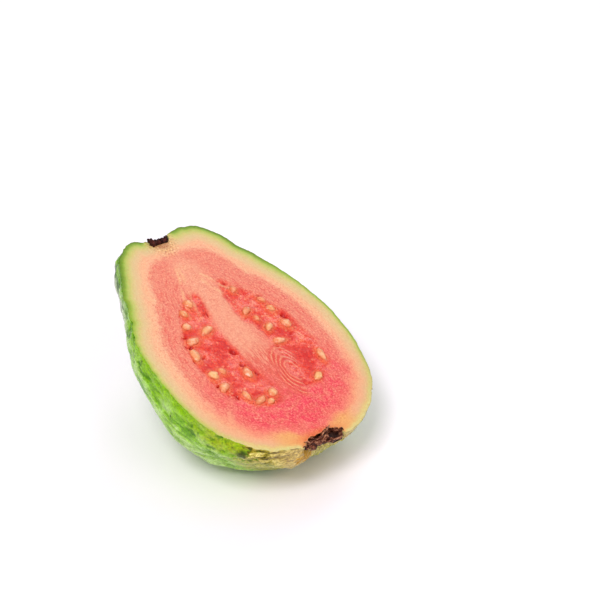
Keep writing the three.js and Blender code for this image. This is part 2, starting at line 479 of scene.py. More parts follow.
def face_fields(points, rim):
    """What sets the cut face's relief and colours. All are masks from 0 to 1, but for the depth under
    the skin, its ragged shift and the hollows' depth, and the nearest seed's distance in its sizes."""
    x, y = points.T
    inside = chamber_depth(points)
    nearest = np.min([seed.nearness(points) for seed in seeds], axis=0)
    ridges, swirled = swirl(points)
    core = np.hypot((x - np.clip(x, 15, 47)) / 1.4, y - 1)
    placenta = fade(core, 2.5, 7.5)
    return {
        "under_skin": green_depth(points, rim),
        "ragged": 1.5 * fractal(points, 4.5, 4, 6.1) * smoothstep(x, 50, 66),
        "blossom": smoothstep(x + 2.0 * fractal(points, 9, 2, 6.6), 47, 78),
        "pulp": smoothstep(inside, -0.9, 1.3),
        "aril": fade(nearest, 1.1, 2.5),
        "nearest_seed": nearest,
        "hollow": np.maximum(np.where(inside > -2.5, socket_depth(points), 0), cleft_depth(points)),
        "swirl": ridges * swirled,
        "swirled": swirled,
        "veins": veins(points),
        "placenta": placenta,
        "calm": placenta * smoothstep(x, 24, 34),
        "streaks": band(x, 44, 52, 66, 72) * fade(abs(y - 1.5), 3, 6),
        "calyx_lip": smoothstep(x, 76, 81),
        "stem_end": fade(x, 10, 30),
        "cream_rim": np.maximum(smoothstep(x, 60, 78) * smoothstep(y, 4, 14), smoothstep(x, 70, 78)),
        "golden": smoothstep(x, 76, 82) * fade(abs(y), 11, 18),
        "stem_tan": fade(np.hypot(x - STEM_END[0], y - STEM_END[1]), 1.5, 7),
        "calyx_orange": fade(np.hypot((x - CALYX_END[0]) / 0.8, y / 2.8), 1.0, 4.5),
    }


PULP_LEVEL = -0.2  # the pulp's height over the cut plane
GRAIN_HEIGHT = 0.14
SWIRL_HEIGHT = 0.16
VEIN_HEIGHT = 0.07
HEAP_HEIGHT = 0.34  # of the pulp heaped round each seed
UNDER_SEED = -0.9
CLEAR_OF_SEEDS = 3.0  # a ceiling that nothing in the relief reaches
RIM_ROUNDING = 0.3  # how far the cut face drops at its rim


def face_relief(points, fields, rim):
    """Height of the cut face over its plane."""
    flesh = 0.13 * fractal(points, 13, 2, 1.9) + 0.06 * fractal(points, 2.4, 3, 3.3)
    pulp = PULP_LEVEL + 0.16 * fractal(points, 4.6, 2, 5.8) + 0.07 * fractal(points, 1.7, 2, 2.9)
    pulp = pulp + GRAIN_HEIGHT * (0.5 - cells(points, 1.7, 0.7))
    height = lerp(flesh, pulp, fields["pulp"])
    height = height + SWIRL_HEIGHT * fields["swirl"] + VEIN_HEIGHT * fields["veins"]
    seat = fields["nearest_seed"]
    heap = HEAP_HEIGHT * np.exp(-(((seat - SEED_SWELL) / 0.45) ** 2))
    height = height + heap * fields["pulp"]
    beside_seed = smoothstep(seat, 0.7 * SEED_SWELL, 1.05 * SEED_SWELL)
    under_seed = lerp(UNDER_SEED, CLEAR_OF_SEEDS, beside_seed)
    height = np.minimum(height, under_seed)
    height = height - fields["hollow"]
    from_edge = distance_to(points, rim)
    return height * smoothstep(from_edge, 0, 1.5) - RIM_ROUNDING * fade(from_edge, 0, 0.9)


# ---- Meshes ----


def new_object(name, data):
    """An object that holds the data, linked to the scene."""
    made = bpy.data.objects.new(name, data)
    bpy.context.scene.collection.objects.link(made)
    return made


def make_object(name, points, faces):
    """A smooth-shaded object from points in the fruit's axes."""
    mesh = bpy.data.meshes.new(name)
    mesh.from_pydata((to_world(points) * MM).tolist(), [], faces)
    mesh.validate()
    mesh.polygons.foreach_set("use_smooth", [True] * len(mesh.polygons))
    return new_object(name, mesh)


def set_fields(made, **fields):
    """Stores a number or a vector for each vertex, under the names given."""
    for name, values in fields.items():
        kind, key = ("FLOAT", "value") if values.ndim == 1 else ("FLOAT_VECTOR", "vector")
        attribute = made.data.attributes.new(name, kind, "POINT")
        attribute.data.foreach_set(key, values.astype(np.float32).ravel())


def grid_quads(index):
    """Quads over a square grid of vertex numbers."""
    corners = (index[:-1, :-1], index[1:, :-1], index[1:, 1:], index[:-1, 1:])
    return np.stack(corners, -1).reshape(-1, 4)


FIBRE_CENTRE = (86.0, 0.5, -2.0)  # the fibres of the ripe skin run towards here
FIBRE_SPREAD = 13.0
FIBRE_WAVER = 0.08
CONTOUR_STRETCH = 5.0  # how much finer the flesh's streaks are across the rim's line than along it


def build_half():
    """The half as one closed mesh: a grid of skin and a grid of cut face that share the rim."""
    skin, dents, rise = shaped_skin()
    size = len(skin)
    out, _ = ring_shares()
    border = out > 1 - 0.5 / RINGS
    skin[border, 2] = 0
    skin_index = np.arange(size * size).reshape(size, size)
    face_index = np.full((size, size), -1)
    face_index[border] = skin_index[border]
    face_index[~border] = size * size + np.arange(np.count_nonzero(~border))

    face = out[..., None] * (rim_along_rays(skin, border) - MIDDLE[:2]) + MIDDLE[:2]
    inner = face[~border]
    rim = skin[border][:, :2]
    fields = face_fields(inner, rim)
    height = face_relief(inner, fields, rim)
    points = np.concatenate([skin.reshape(-1, 3), np.column_stack([inner, height])])
    skin_quads = grid_quads(skin_index)[:, ::-1]
    face_quads = grid_quads(face_index)
    quads = np.concatenate([skin_quads, face_quads])
    half = make_object("guava_flesh_and_skin", points, quads.tolist())
    half.data.polygons.foreach_set("material_index", [0] * len(skin_quads) + [1] * len(face_quads))

    for name, values in fields.items():
        on_skin = np.pad(values.reshape(size - 2, size - 2), 1, mode="edge")
        if name == "under_skin":
            on_skin[border] = 0
        set_fields(half, **{name: np.concatenate([on_skin.ravel(), values])})
    contour = points * [1, 1, 0]
    contour[size * size :, 2] = CONTOUR_STRETCH * fields["under_skin"]
    from_calyx = points - FIBRE_CENTRE
    reach = np.linalg.norm(from_calyx, axis=1)[:, None]
    fibre = from_calyx / reach * (FIBRE_SPREAD + FIBRE_WAVER * reach)
    dents, rise = (np.concatenate([values, np.zeros(len(inner))]) for values in (dents, rise))
    set_fields(half, fruit=points, dents=dents, rise=rise, contour=contour, fibre=fibre)
    add_bake_map(half, points, size * size, len(skin_quads))
    return half


def add_bake_map(half, points, skin_points, skin_faces):
    """A UV map in two charts: the skin's grid in the left half and the flat cut face in the right."""
    size = math.isqrt(skin_points)
    row, column = np.divmod(np.arange(skin_points), size)
    skin_chart = np.column_stack([0.01 + 0.48 * row / (size - 1), 0.01 + 0.98 * column / (size - 1)])
    low, high = points[:, :2].min(0), points[:, :2].max(0)
    face_chart = 0.01 + [0.48, 0.98] * (points[:, [1, 0]] - low[::-1]) / (high - low)[::-1] + [0.5, 0]
    corners = read(half.data.loops, "vertex_index", 1, int)[:, 0]
    in_skin = np.arange(len(corners)) < 4 * skin_faces
    chart = np.empty((len(corners), 2))
    chart[in_skin] = skin_chart[corners[in_skin]]
    chart[~in_skin] = face_chart[corners[~in_skin]]
    half.data.uv_layers.new(name="OFBake").data.foreach_set("uv", chart.ravel())


def rim_along_rays(skin, border):
    """For each point of the grid, the rim point on the same way out."""
    _, round_ring = ring_shares()
    order = np.argsort(round_ring[border])
    shares = round_ring[border][order]
    rim = skin[border][order]
    return np.stack([np.interp(round_ring, shares, rim[:, k], period=1) for k in (0, 1)], -1)


# ---- Materials ----


def srgb(code):
    """Linear colour of a hex code."""
    parts = [int(code[i : i + 2], 16) / 255 for i in (1, 3, 5)]
    linear = [p / 12.92 if p <= 0.04045 else ((p + 0.055) / 1.055) ** 2.4 for p in parts]
    return (*linear, 1.0)


NOISE_RANGE = (0.3, 0.7)


class Shader:
    """One material's nodes. Each method adds some and returns an output socket. A value given to one
    is a socket, a number, a vector, a colour code or the name of a field that the mesh carries."""

    def __init__(self, name):
        self.material = bpy.data.materials.new(name)
        self.material.use_nodes = True
        self.tree = self.material.node_tree
        self.surface = self.tree.nodes["Principled BSDF"]

    def node(self, kind, settings=(), inputs=()):
        made = self.tree.nodes.new("ShaderNode" + kind)
        for name, value in dict(settings).items():
            setattr(made, name, value)
        for name, value in dict(inputs).items():
            self.plug(made.inputs[name], value)
        return made

    def plug(self, socket, value):
        if isinstance(value, str):
            value = srgb(value) if value.startswith("#") else self.field(value)
        if isinstance(value, bpy.types.NodeSocket):
            self.tree.links.new(value, socket)
        else:
            socket.default_value = value

    def field(self, name, output="Fac"):
        """A field of the mesh: a number, or a vector if the output is "Vector"."""
        return self.node("Attribute", {"attribute_name": name}).outputs[output]

    def math(self, operation, a, b=0.0):
        return self.node("Math", {"operation": operation}, {0: a, 1: b}).outputs[0]

    def times(self, *values):
        return reduce(lambda a, b: self.math("MULTIPLY", a, b), values)

    def plus(self, *values):
        return reduce(lambda a, b: self.math("ADD", a, b), values)

    def weighted(self, *parts):
        """The sum of (value, weight) pairs."""
        return self.plus(*(self.times(value, weight) for value, weight in parts))

    def split(self, vector):
        """The vector's x, y and z."""
        return self.node("SeparateXYZ", {}, {0: vector}).outputs[:3]

    def scaled(self, vector, scale):
        return self.node("VectorMath", {"operation": "MULTIPLY"}, {0: vector, 1: scale}).outputs[0]

    def noise(self, vector, scale, detail=3.0, roughness=0.55):
        inputs = {"Vector": vector, "Scale": scale, "Detail": detail, "Roughness": roughness}
        return self.node("TexNoise", {}, inputs).outputs["Fac"]

    def distance(self, vector, place):
        return self.node("VectorMath", {"operation": "DISTANCE"}, {0: vector, 1: place}).outputs["Value"]

    def cells(self, vector, scale):
        """Distance to the nearest of scattered points."""
        return self.node("TexVoronoi", {}, {"Vector": vector, "Scale": scale}).outputs["Distance"]

    def ramp(self, value, stops, low=0.0, high=1.0):
        """A colour ramp whose stops are (place, colour), with places from `low` to `high`."""
        made = self.node("ValToRGB")
        elements = made.color_ramp.elements
        places = [(place - low) / (high - low) for place, _ in stops]
        for place in places[1:-1]:
            elements.new(place)
        for element, place, (_, code) in zip(elements, places, stops):
            element.position = place
            element.color = srgb(code)
        self.plug(made.inputs[0], self.span(value, low, high))
        return made.outputs[0]

    def span(self, value, low, high, first=0.0, last=1.0, kind="LINEAR"):
        """Maps low..high to first..last, held at the ends."""
        settings = {"clamp": True, "interpolation_type": kind}
        inputs = {"Value": value, "From Min": low, "From Max": high, "To Min": first, "To Max": last}
        return self.node("MapRange", settings, inputs).outputs[0]

    def ease(self, value, low, high, first=0.0, last=1.0):
        """Like span, but starting and ending smoothly."""
        return self.span(value, low, high, first, last, "SMOOTHSTEP")

    def swing(self, noise, low, high):
        """Maps the usual range of a noise to low..high."""
        return self.span(noise, *NOISE_RANGE, low, high)

    def mix(self, share, a, b, blend="MIX"):
        made = self.node("Mix", {"data_type": "RGBA", "blend_type": blend})
        for index, value in ((0, share), (6, a), (7, b)):
            self.plug(made.inputs[index], value)
        return made.outputs[2]

    def layers(self, colour, *layers):
        """The colour under others, from the lowest up: each one's shares, to be multiplied, and colour."""
        for *shares, over in layers:
            colour = self.mix(self.times(*shares), colour, over)
        return colour

    def tinted(self, colour, amount, red_share=1.0):
        """The colour made lighter or darker by a share of itself, its red by less if wanted."""
        tone = self.plus(amount, 1.0)
        red = self.plus(self.times(amount, red_share), 1.0)
        light = self.node("CombineColor", {}, {0: red, 1: tone, 2: tone}).outputs[0]
        return self.mix(1.0, colour, light, "MULTIPLY")

    def bump(self, height, strength, distance, normal=None):
        made = self.node("Bump", {}, {"Height": height, "Strength": strength, "Distance": distance})
        if normal is not None:
            self.plug(made.inputs["Normal"], normal)
        return made.outputs[0]

    def finish(self, **inputs):
        """Sets the surface's sockets, named with underscores for spaces, and returns the material."""
        for name, value in inputs.items():
            self.plug(self.surface.inputs[name.replace("_", " ")], value)
        return self.material


# Colours of the firm flesh by its depth under the skin, at the belly and at the calyx end.
BELLY_LAYERS = [
    (0, "#87a822"), (0.3, "#9eb440"), (0.7, "#b8bb5e"), (1.2, "#cabc70"), (1.8, "#d4ba7e"),
    (2.5, "#d9b885"), (4, "#e2b486"), (5.2, "#e8ac84"), (6.5, "#eeac84"), (7.7, "#eba884"),
    (8.5, "#e89878"), (9.3, "#e48a6e"), (10.5, "#e4836a"), (12, "#e48068"),
]
BLOSSOM_LAYERS = [
    (0, "#acb24c"), (0.7, "#c8b864"), (1.4, "#d5b276"), (2.1, "#ddab7c"), (3, "#e5a67c"),
    (4, "#e7a27a"), (5, "#e99a72"), (6, "#e98a6b"), (7, "#e87b63"), (8, "#e86e5f"), (9, "#e76059"),
    (10.5, "#e65454"), (13, "#e64250"),
]


def layered_flesh(s, depth):
    """The firm flesh by depth: green, cream and salmon, and deep pink at the calyx end."""
    blossom = s.layers(
        s.ramp(depth, BLOSSOM_LAYERS, 0, 13),
        ("golden", s.ease(depth, 5, 8.5, 0.8, 0), "#e49e54"),
        ("calyx_lip", s.span(depth, 0.7, 2.2, 0.9, 0), "#dfbe75"),
    )
    return s.layers(
        s.ramp(depth, BELLY_LAYERS, 0, 12),
        ("blossom", blossom),
        ("cream_rim", s.span(depth, 0.5, 1.4, 0.85, 0), "#d6c682"),
        ("stem_end", s.span(depth, 0.0, 0.45, 0.85, 0), "#5c8000"),
    )


def mottled_flesh(s, colour, depth, hot, mottle, clouds, grain):
    """Red streaks and blotches over the flesh, hot pink patches, the pale core and pale grains."""
    contours = s.noise(s.field("contour", "Vector"), 0.26, 4.0, 0.62)
    streaky = s.times(s.ease(depth, 7, 10.5), s.span(contours, 0.48, 0.62, 0, 0.7))
    blotches = s.times(s.ease(depth, 6, 10), s.span(mottle, 0.49, 0.66, 0, 0.5))
    return s.layers(
        colour,
        (streaky, s.span("stem_end", 0, 1, 1.0, 0.55), "#de5646"),
        (blotches, s.span("stem_end", 0, 1, 1.0, 0.6), "#e05e52"),
        (hot, s.span(clouds, 0.47, 0.58, 0, 0.8), "#e82a4a"),
        (hot, s.span(clouds, 0.46, 0.38, 0, 0.5), "#ea7e68"),
        ("placenta", s.span(mottle, 0.35, 0.65, 0.95, 0.7), "#e9997a"),
        (s.ease(depth, 5, 11), s.span(grain, 0.5, 0.7, 0, 0.4), "#f0b090"),
    )


def stained_ends(s, colour, grain):
    """Tan and brown flesh at the stem, and orange flesh at the calyx."""
    tan = s.ramp(grain, [(0.36, "#8e5a30"), (0.44, "#cf9458"), (0.54, "#dfb070"), (0.66, "#eed09c")])
    return s.layers(
        colour,
        ("stem_tan", 0.85, tan),
        (s.span("stem_tan", 0.82, 1.0, 0, 0.55), "#9a4a2c"),
        ("calyx_orange", 0.85, "#e2703c"),
    )


def pulp_colour(s, place, patches, mottle, clouds, grain):
    """Red clotted pulp, more orange round the seeds, with dark red specks, and pale specks of painted
    highlight that stand for wet glints.
    """
    clotted = s.weighted((patches, 0.4), (mottle, 0.35), (grain, 0.25))
    clotted = s.plus(clotted, s.span(s.split(place)[0], 30, 58, 0, -0.03))
    dark_specks, lumps = s.cells(place, 0.85), s.cells(place, 0.66)
    return s.layers(
        s.ramp(clotted, [(0.41, "#d01206"), (0.46, "#dc2a18"), (0.53, "#e4482f"), (0.61, "#ea7450")]),
        ("aril", s.span(mottle, 0.4, 0.6, 0.85, 0.25), "#ea744a"),
        (s.span(dark_specks, 0.16, 0.3, 0.8, 0), s.span(clouds, 0.5, 0.56), "#b80c06"),
        # Painted highlight: pale specks that stand for wet glints on the pulp.
        (s.span(lumps, 0.16, 0.36, 0.45, 0), s.span(clouds, 0.5, 0.44), "#f0a27c"),
    )


def marked_flesh(s, colour, place):
    """Streaks beyond the core, the swirl's pale lines on red, pale strands, and painted shade in the
    hollows: darker red, darkest where deepest.
    """
    lines = s.noise(s.scaled(place, (0.3, 2.0, 1.0)), 0.9, 2.0)
    return s.layers(
        colour,
        ("streaks", s.span(lines, 0.44, 0.6, 0.85, 0), "#da5442"),
        ("swirled", 0.85, "#da3c30"),
        ("swirl", 0.85, "#ec9a76"),
        ("veins", 0.6, "#eeb686"),
        # Painted shade: the hollows are darker red, darkest where they are deepest.
        (s.ease("hollow", 0.05, 0.7), 0.95, "#c8100c"),
        (s.span("hollow", 0.35, 0.8, 0, 0.4), "#a0060c"),
    )


def flesh_tone(s, depth, hot, mottle, grain, fine):
    """How much lighter or darker the flesh's grain and fibres make each point."""
    fibres = s.noise(s.field("contour", "Vector"), 0.8, 3.0, 0.65)
    return s.times(
        s.plus(s.swing(grain, -0.24, 0.22), s.swing(fine, -0.17, 0.16), s.swing(fibres, -0.22, 0.22)),
        s.span("pulp", 0, 1, 1.0, 1.1),
        s.span("calm", 0, 1, 1.0, 0.6),
        s.span(mottle, 0.36, 0.64, 0.6, 1.5),
        s.span("stem_end", 0, 1, 1.0, 0.75),
        s.span(hot, 0, 1, 1.0, 1.25),
        s.span(depth, 3, 8, 0.4, 1.1),
    )


def flesh_material():
    s = Shader("guava_cut_face")
    place = s.field("fruit", "Vector")
    patches = s.noise(place, 0.17, 3.0, 0.5)
    mottle = s.noise(place, 0.6, 4.0, 0.6)
    clouds = s.noise(place, 0.34, 3.0, 0.6)
    grain = s.noise(place, 1.6, 3.0, 0.65)
    fine = s.noise(place, 3.4, 2.0, 0.6)
    waver = s.plus(s.times(s.math("SUBTRACT", mottle, 0.5), 1.8), "ragged")
    depth = s.plus("under_skin", s.times(waver, s.span("under_skin", 0.5, 6)))
    hot = s.times("blossom", s.ease(depth, 8, 12))
    colour = layered_flesh(s, depth)
    colour = mottled_flesh(s, colour, depth, hot, mottle, clouds, grain)
    colour = stained_ends(s, colour, grain)
    colour = s.mix("pulp", colour, pulp_colour(s, place, patches, mottle, clouds, grain))
    colour = marked_flesh(s, colour, place)
    bumps = s.bump(grain, s.span("pulp", 0, 1, 0.4, 0.8), 0.25 * MM)
    wet = s.times("pulp", s.ease(patches, 0.46, 0.6))
    return s.finish(
        Base_Color=s.tinted(colour, flesh_tone(s, depth, hot, mottle, grain, fine), 0.35),
        Roughness=s.math("SUBTRACT", s.span("pulp", 0, 1, 0.5, 0.34), s.times(wet, 0.16)),
        Normal=s.bump(fine, 0.3, 0.12 * MM, bumps),
        Subsurface_Weight=0.2,
        Subsurface_Radius=(1.0, 0.35, 0.2),
        Subsurface_Scale=0.8 * MM,
        Specular_IOR_Level=0.35,
        Coat_Weight=s.times(wet, 0.3),
        Coat_Roughness=0.1,
    )


def green_skin(s, along, across, height, broad, mottle):
    """Green skin, olive towards the calyx, paled by painted sheen below and made greyish by painted sheen
    and shade at the stem end.
    """
    # Part of the tone is painted light: the lumps of the relief are made lighter.
    tone = s.weighted((mottle, 0.7), ("rise", 0.3))
    rim_band = s.ease(s.plus(height, s.swing(mottle, -3, 3)), -8, -1.5)
    turning = s.times(s.ease(along, 60, 74, 0, 0.85), s.span(height, -9, -4, 0, 1))
    # Painted sheen: paler green towards the floor, most towards the stem end.
    painted_sheen = s.ease(s.plus(height, s.swing(broad, -4, 4)), -4, -18, 0, 0.65)
    pale = s.mix(s.span(along, 34, 60), "#a0cc84", "#aacc5c")
    # Painted sheen and shade at the stem end: greyish green with lighter and darker patches.
    grey_sheen = s.times(s.span(along, 30, 15, 0, 0.9), s.span(height, -1.5, -4, 0, 1))
    grey = s.ramp(tone, [(0.38, "#586a4c"), (0.47, "#94a484"), (0.58, "#c0c8b0")])
    return s.layers(
        s.ramp(tone, [(0.37, "#549200"), (0.45, "#78b414"), (0.53, "#94ca3c"), (0.64, "#b6dc80")]),
        (s.span(broad, 0.4, 0.7, 0, 0.3), "#98bc10"),
        (rim_band, s.span(along, 22, 40, 0.25, 0.75), "#84b200"),
        (turning, s.span(mottle, 0.42, 0.54, 0.55, 1), "#98a600"),
        (painted_sheen, s.span(along, 56, 24, 0.7, 1.0), pale),
        (grey_sheen, s.span(across, 0, -14, 0.45, 1), grey),
        # Painted shade: darker green in the dents of the relief.
        ("dents", s.span(height, -14, -5, 0.3, 0.9), "#2c6600"),
    )


def ripe_skin(s, place, along, across, height):
    """The straw-coloured skin round the calyx, brown inside the crater, and its fibres' pattern."""
    fibre = s.field("fibre", "Vector")
    fibres = s.weighted((s.noise(fibre, 0.8, 3.0, 0.65), 0.6), (s.noise(fibre, 1.9, 2.0, 0.6), 0.4))
    uneven = s.swing(s.noise(place, 0.5, 4.0, 0.65), -2.2, 2.2)
    crater = s.times(
        s.span(along, 81, 82.5),
        s.span(along, 86.0, 85.0),
        s.span(height, -4.5, -3.0),
        s.span(s.math("ABSOLUTE", across), 9.5, 8),
    )
    colour = s.layers(
        s.ramp(fibres, [(0.41, "#3a3200"), (0.46, "#7c7000"), (0.51, "#b4a034"), (0.58, "#e2d27a")]),
        (s.span(height, -5, -9, 0, 0.6), "#b2b85e"),
        (s.span(along, 84, 87, 0, 0.5), "#d8b480"),
        (s.ease(s.plus(s.distance(place, ORANGE_STAIN), uneven), 2.0, 4.0, 0.95, 0), "#b88600"),
        (crater, "#6a301a"),
    )
    return colour, fibres


def marked_skin(s, colour, place, along, across, height, broad, pores):
    """A cream line on the far rim, a dark one at the stem end, dark spots and freckles."""
    far_edge = s.times(s.span(across, 6, 14), s.ease(height, -2.4, -0.8))
    colour = s.layers(
        colour,
        (far_edge, s.span(along, 56, 78, 0, 0.9), "#ccc688"),
        (s.span(along, 22, 8, 0, 0.7), s.ease(height, -2.0, -0.4), "#3c6a00"),
    )
    for spot, radius in DARK_SPOTS:
        edge = s.plus(s.distance(place, spot), s.swing(pores, -0.25, 0.25))
        colour = s.mix(s.span(edge, 0.5 * radius, radius, 0.88, 0), colour, "#263400")
    freckles = s.times(s.span(s.cells(place, 0.16), 0.04, 0.09, 1, 0), s.span(broad, 0.48, 0.55), 0.6)
    return s.mix(freckles, colour, "#38501a")


def skin_material():
    s = Shader("guava_skin")
    place = s.field("fruit", "Vector")
    along, across, height = s.split(place)
    streaky = s.scaled(place, (0.4, 1.0, 1.0))
    broad = s.noise(place, 0.1, 3.0)
    mottle = s.noise(streaky, 0.6, 4.0, 0.62)
    pores = s.noise(place, 1.9, 3.0, 0.65)
    flecks = s.noise(streaky, 1.1, 2.0, 0.6)
    ripe = s.plus(along, s.swing(mottle, -3.5, 3.5), s.span(height, -5, -11, 0, 4))
    ripe = s.ease(ripe, 78.5, 82.5)
    ripe_colour, fibres = ripe_skin(s, place, along, across, height)
    colour = s.mix(ripe, green_skin(s, along, across, height, broad, mottle), ripe_colour)
    colour = marked_skin(s, colour, place, along, across, height, broad, pores)
    specks = s.plus(s.swing(pores, -0.36, 0.36), s.swing(flecks, -0.16, 0.16))
    relief = s.bump(s.noise(place, 0.9, 3.0, 0.55), 0.6, 0.6 * MM)
    relief = s.bump(pores, 0.6, 0.25 * MM, relief)
    glossy = s.times("rise", s.span("dents", 0.1, 0.6, 0.3, 0))
    return s.finish(
        Base_Color=s.tinted(colour, s.times(specks, s.span(ripe, 0, 1, 1.0, 0.8))),
        Roughness=s.swing(mottle, 0.22, 0.34),
        Normal=s.bump(s.times(fibres, ripe), 0.6, 0.4 * MM, relief),
        Specular_IOR_Level=0.12,
        Coat_Weight=s.times(glossy, s.span(ripe, 0, 1, 1, 0)),
        Coat_Roughness=0.18,
    )


half = build_half()
half.data.materials.append(skin_material())
half.data.materials.append(flesh_material())
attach(half, "root")
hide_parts("guava_half")


def seed_material():
    s = Shader("guava_seed")
    place = s.field("fruit", "Vector")
    cloudy = s.noise(place, 0.8, 2.0)
    grain = s.noise(place, 1.8, 2.0)
    colour = s.layers(
        s.ramp(cloudy, [(0.36, "#e68458"), (0.48, "#ea9c70"), (0.62, "#f0b48c")]),
        ("straw", "#f0bc7c"),
        # Partly pulp stain, partly painted shade on the seed's low sides.
        ("stained", "#dc6236"),
    )
    return s.finish(
        Base_Color=s.tinted(colour, s.swing(grain, -0.1, 0.08)),
        Roughness=0.32,
        Normal=s.bump(grain, 0.15, 0.15 * MM),
        Subsurface_Weight=0.4,
        Subsurface_Radius=(1.0, 0.5, 0.25),
        Subsurface_Scale=0.8 * MM,
        Specular_IOR_Level=0.4,
        Coat_Weight=0.2,
        Coat_Roughness=0.1,
    )


SEED_AROUND = 40
SEED_DOWN = 24
SEED_TAPER = 0.16
SEED_BEND = 0.12
COATED_SINK = 0.25  # how much deeper a coated seed lies
COATED_STAIN = 0.55
MOST_STAIN = 0.85


def ball(around, down):
    """A closed ball: the tilt from one pole and the turn of each point, and the faces."""
    tilts = np.linspace(0, math.pi, down + 1)[1:-1]
    turns = np.linspace(0, 2 * math.pi, around, endpoint=False)
    tilt, turn = np.meshgrid(tilts, turns, indexing="ij")
    tilt = np.concatenate([tilt.ravel(), [0, math.pi]])
    turn = np.concatenate([turn.ravel(), [0, 0]])
    first, last = len(tilt) - 2, len(tilt) - 1
    faces = []
    for i in range(around):
        j = (i + 1) % around
        faces.append((first, i, j))
        for base in range(0, (down - 2) * around, around):
            faces.append((base + i, base + around + i, base + around + j, base + j))
        base = (down - 2) * around
        faces.append((base + i, last, base + j))
    return tilt, turn, faces


def build_seed(seed, material):
    tilt, turn, faces = ball(SEED_AROUND, SEED_DOWN)
    girth = np.sin(tilt)
    round_points = np.column_stack([girth * np.cos(turn), girth * np.sin(turn), np.cos(tilt)])
    lumps = SEED_SWELL * (1 + 0.15 * fractal(round_points, 0.9, 3, seed.number * 3.7))
    x, y, z = (round_points * lumps[:, None]).T
    y = y * (1 - SEED_TAPER * x) + SEED_BEND * (1 - x * x) * (1 if seed.number % 2 else -1)
    z = np.sign(z) * np.abs(z) ** 0.85
    coated = seed.number in COATED_SEEDS
    sink = COATED_SINK if coated else 0.0
    flat = np.outer(x * seed.half_length, seed.way) + np.outer(y * seed.half_width, seed.side)
    points = np.column_stack([flat + seed.middle[:2], z * seed.half_height + seed.middle[2] - sink])
    points = crumpled(points, 1.1, 0.12, 2.3)
    made = make_object(f"seed_body_{seed.number:02d}", points, faces)
    coat = (COATED_STAIN if coated else 0.0) * (0.7 + 0.6 * fractal(points, 1.5, 2))
    # Darker orange low on each seed, where it meets the pulp: partly pulp stain, partly painted shade.
    stained = np.maximum(fade(points[:, 2], 0.1, 0.85), coat)
    stained = np.maximum(stained, 0.6 * smoothstep(fractal(points, 2.2, 2, 6.7), 0.15, 0.6))
    straw = np.full(len(points), STRAW_SHARES[seed.number % len(STRAW_SHARES)])
    set_fields(made, stained=np.clip(stained, 0, 1) * MOST_STAIN, straw=straw, fruit=points)
    made.data.materials.append(material)
    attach(made, "root")
    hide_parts(seed.name)


seed_look = seed_material()
for seed in seeds:
    build_seed(seed, seed_look)

# ---- Dried remnants at both ends of the core ----

LIMB_AROUND = 16
LIMB_DOWN = 20
STEM_STUBS = 32
SEPAL_STRANDS = 15
CUP_FLAKES = 17
CUP_MIDDLE = (85.9, 4.7)  # the crown's dark hollow, beside the core
CUP_RADII = (1.75, 2.7)
CUP_DARK_RADII = (1.7, 2.6)
STUBS_REACH = (3.3, 2.5)  # the scar's half width and its depth below the cut face
# Thick parts of the stalk's remnant: start, bend, end, half width and half height.
STEM_LUMPS = [
    ((0.6, -3.7, -0.4), (0.8, -0.4, -0.7), (0.5, 2.7, -0.4), 0.7, 0.8),
    ((1.8, -3.3, 0.2), (0.5, -3.0, 0.5), (-0.6, -3.2, 0.2), 1.1, 0.9),
    ((0.6, -3.4, 0.2), (-0.8, -3.6, 0.5), (-1.6, -3.6, 0.3), 0.6, 0.55),
    ((0.4, -2.4, 0.2), (-0.7, -2.7, 0.4), (-1.5, -2.6, 0.3), 0.5, 0.5),
    ((1.3, 1.3, -0.4), (0.6, 1.7, 0.1), (-0.1, 2.5, 0.0), 0.6, 0.5),
]
# Broad strips under the crown, which close it off from the flesh: the same, and how blunt some are.
CROWN_BASE = [
    ((86.1, 1.6, -1.5), (86.2, 4.7, -2.0), (86.1, 7.6, -1.5), 1.9, 0.5, 0.4),
    ((84.3, 9.0, -2.0), (84.1, 0.5, -2.2), (86.2, -8.6, -2.0), 1.7, 0.6, 0.4),
    ((87.1, -6.2, -0.8), (86.2, 0.0, -1.5), (86.0, 7.0, -1.5), 1.1, 0.7),
    ((86.2, -6.2, -0.7), (85.3, 0.0, -1.4), (85.1, 7.0, -1.4), 1.0, 0.6),
]
# Curled sepals and tips that stand out of the crown: foot, bend, tip, half width, half thickness.
SEPALS = [
    ((87.6, 0.8, -0.6), (88.2, 4.2, -0.7), (87.0, 7.4, -0.3), 0.7, 0.35),
    ((86.4, -0.2, -0.5), (85.6, 0.8, 1.1), (86.9, 1.6, -0.2), 0.9, 0.5),
    ((85.6, 0.4, -0.4), (83.4, 1.4, 0.6), (84.9, 2.8, -0.2), 0.7, 0.4),
    ((84.8, 2.2, -0.2), (83.8, 3.0, 0.7), (82.9, 4.4, 0.7), 0.4, 0.3),
    ((85.4, 7.0, -0.6), (84.6, 8.0, 0.3), (85.9, 8.1, 0.3), 0.6, 0.3),
    ((86.6, -2.6, -0.1), (85.4, -3.2, 0.6), (84.9, -4.4, 0.2), 0.4, 0.25),
    ((87.2, -5.2, -0.2), (85.8, -5.8, 0.4), (85.3, -6.9, 0.0), 0.4, 0.25),
    ((87.6, -6.4, -0.3), (86.6, -7.4, 0.1), (86.8, -8.3, -0.2), 0.4, 0.25),
    ((87.6, -2.8, -0.8), (88.4, -4.6, -0.4), (88.5, -6.8, -0.5), 0.6, 0.4),
]


